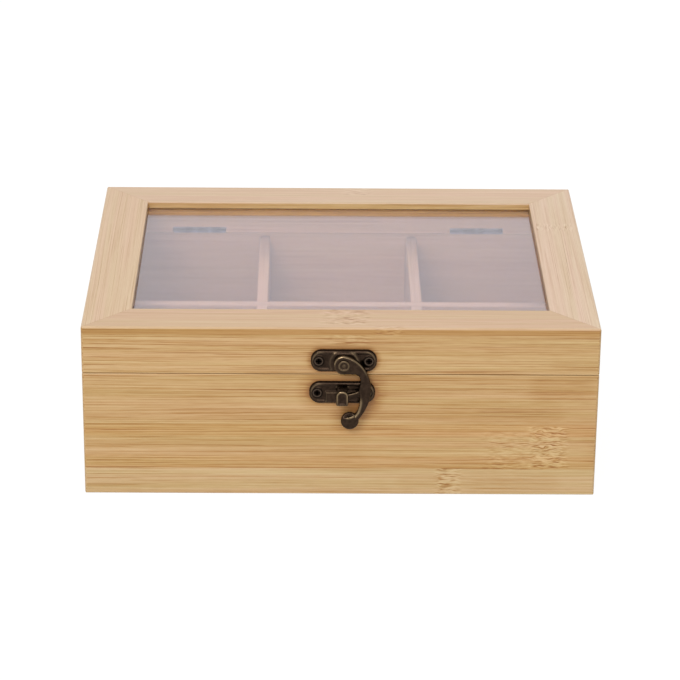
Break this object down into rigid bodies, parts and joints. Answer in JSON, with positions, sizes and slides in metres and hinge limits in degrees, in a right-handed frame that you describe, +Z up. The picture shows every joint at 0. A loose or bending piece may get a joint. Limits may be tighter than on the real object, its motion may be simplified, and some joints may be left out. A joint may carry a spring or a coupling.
{
  "type": "tea bag organizer box",
  "caption": "Rectangular wooden box with equal inner compartments, a hinged lid framed around a clear window, and a swing hook latch at the front.",
  "frame": {"origin": "middle of the flat underside of the box", "axes": "+Z up, front with the latch towards -Y, +X to the right as seen from the front"},
  "size_m": [0.22, 0.176, 0.078],
  "materials": {
    "wall_bamboo": "satin lacquered carbonised bamboo, strips running along each wall",
    "frame_bamboo": "satin lacquered bamboo, strips running along each rail",
    "inner_bamboo": "smooth sanded bamboo",
    "window": "clear polished sheet",
    "latch_bronze": "antique bronze, worn bright on the edges",
    "hinge_steel": "plain plated steel"
  },
  "bodies": {
    "box": {"front_wall": "wall_bamboo", "back_wall": "wall_bamboo", "left_wall": "wall_bamboo", "right_wall": "wall_bamboo", "bottom_panel": "inner_bamboo", "left_divider": "inner_bamboo", "right_divider": "inner_bamboo", "long_divider": "inner_bamboo", "left_hinge_box_leaf": "hinge_steel", "right_hinge_box_leaf": "hinge_steel", "left_hinge_pin": "hinge_steel", "right_hinge_pin": "hinge_steel", "hinge_box_screws": "hinge_steel", "catch_plate": "latch_bronze", "catch_plate_screws": "latch_bronze"},
    "lid": {"lid_front_side": "wall_bamboo", "lid_back_side": "wall_bamboo", "lid_left_side": "wall_bamboo", "lid_right_side": "wall_bamboo", "frame_front_rail": "frame_bamboo", "frame_back_rail": "frame_bamboo", "frame_left_rail": "frame_bamboo", "frame_right_rail": "frame_bamboo", "window_pane": "window", "left_hinge_lid_leaf": "hinge_steel", "right_hinge_lid_leaf": "hinge_steel", "hinge_lid_screws": "hinge_steel", "latch_plate": "latch_bronze", "latch_plate_screws": "latch_bronze", "hook_rivet": "latch_bronze"},
    "hook": {"latch_hook": "latch_bronze"}
  },
  "joints": [
    {"name": "lid_hinge", "type": "hinge", "parent": "box", "child": "lid", "pos_m": [0, 0.0838, 0.0579], "axis": [-1, 0, 0], "range_deg": [0, 102]},
    {"name": "hook_pivot", "type": "hinge", "parent": "lid", "child": "hook", "pos_m": [0.0012, -0.085, 0.06265], "axis": [0, -1, 0], "range_deg": [0, 270]}
  ]
}
